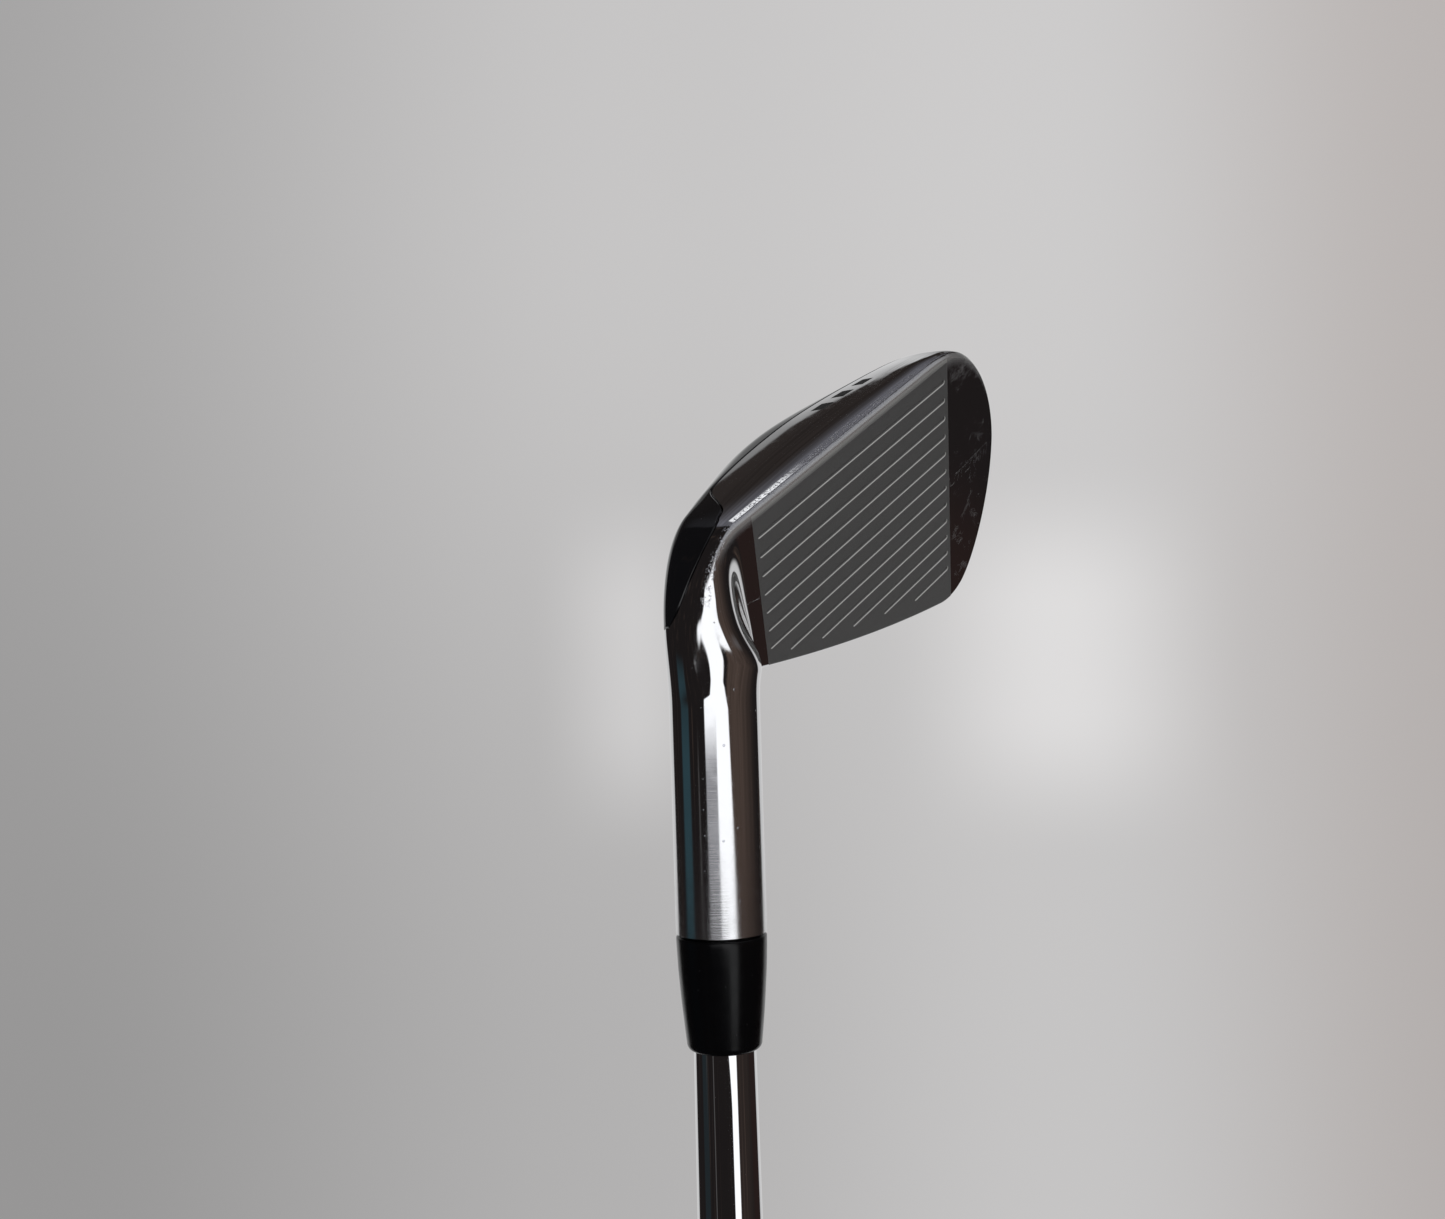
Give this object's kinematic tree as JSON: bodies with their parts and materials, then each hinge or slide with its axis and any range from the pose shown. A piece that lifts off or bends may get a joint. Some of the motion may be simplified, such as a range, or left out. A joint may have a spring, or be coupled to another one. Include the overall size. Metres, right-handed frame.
{
  "type": "iron golf club",
  "caption": "Right-handed iron golf club: chrome head with grooved face and gloss-black rear shell, tapered ferrule, stepped steel shaft and ribbed rubber grip.",
  "frame": {"origin": "centre of the grip's butt end, on the shaft's axis", "axes": "+Z along the shaft from the grip to the head; +X from the heel towards the toe, square to the shaft and in the plane of the shaft and the score lines; -Y towards the target, the side that the face looks at"},
  "size_m": [0.093, 0.0368, 0.9968],
  "materials": {
    "polished_steel": "polished chrome plate with fine brushing on the hosel",
    "blasted_steel": "sand-blasted grey with milled score lines",
    "gloss_black": "deep gloss black",
    "badge_metal": "dark satin",
    "paint_fill": "black paint fill",
    "elastomer": "matte",
    "tungsten": "sintered grey",
    "adhesive": "cured adhesive",
    "ferrule_black": "turned and polished black",
    "shaft_chrome": "mirror chrome plate",
    "brass": "machined",
    "band_film": "satin film",
    "grip_rubber": "moulded, matte",
    "cap_rubber": "moulded, satin"
  },
  "bodies": {
    "root": {"head_body": "polished_steel", "face_plate": "blasted_steel", "rear_shell": "gloss_black", "back_badge": "badge_metal", "badge_tape": "adhesive", "sole_bar_1": "paint_fill", "sole_bar_2": "paint_fill", "sole_bar_3": "paint_fill", "cavity_damper": "elastomer", "toe_weight": "tungsten", "heel_weight": "tungsten", "hosel_epoxy": "adhesive", "ferrule": "ferrule_black", "shaft": "shaft_chrome", "tip_weight": "brass", "shaft_band": "band_film", "grip_tape": "adhesive", "grip": "grip_rubber", "grip_cap": "cap_rubber"}
  },
  "joints": []
}
